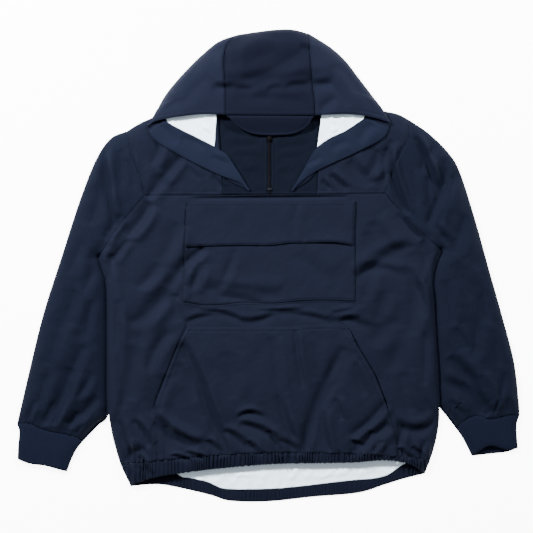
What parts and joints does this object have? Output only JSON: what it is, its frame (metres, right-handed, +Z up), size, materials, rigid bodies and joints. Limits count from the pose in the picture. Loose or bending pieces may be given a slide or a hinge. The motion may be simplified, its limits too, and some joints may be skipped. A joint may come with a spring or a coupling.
{
  "type": "anorak pullover",
  "caption": "Hooded anorak pullover laid flat, with a brimmed hood, a flapped chest pocket, a front hand pocket, knit cuffs and an elastic hem.",
  "frame": {"origin": "centre of the bounding box on the surface the garment lies on", "axes": "+Z up from the surface it lies on, +X across from its wearer's right sleeve to its left one as it lies face up, +Y from the hem to the hood"},
  "size_m": [0.882, 0.8292, 0.0273],
  "materials": {
    "shell": "plain-woven nylon shell, soft matt sheen",
    "shell_dark": "plain-woven nylon shell in shade, matt",
    "rib_knit": "fine rib knit, matt",
    "lining": "smooth pale lining cloth",
    "zip_coil": "woven tape and plastic coil",
    "slider_brass": "dull brass",
    "stop_nickel": "bright nickel plate"
  },
  "bodies": {
    "root": {"front_body": "shell", "front_yoke_left": "shell", "front_yoke_right": "shell", "back_body": "shell", "chest_flap": "shell", "chest_pocket": "shell", "kangaroo_pocket": "shell", "hem_casing_front": "shell", "hem_casing_back": "shell", "upper_sleeve_left": "shell", "lower_sleeve_left": "shell", "upper_sleeve_right": "shell", "lower_sleeve_right": "shell", "hood_side_left": "shell", "hood_side_right": "shell", "hood_centre_panel": "shell", "hood_facing_left": "shell", "hood_facing_right": "shell", "hood_brim": "shell", "neck_guard_left": "shell_dark", "neck_guard_right": "shell_dark", "cuff_left": "rib_knit", "cuff_right": "rib_knit", "back_lining": "lining", "hood_lining_left": "lining", "hood_lining_right": "lining", "zip_chain": "zip_coil", "zip_slider": "slider_brass", "zip_stop": "stop_nickel"}
  },
  "joints": []
}
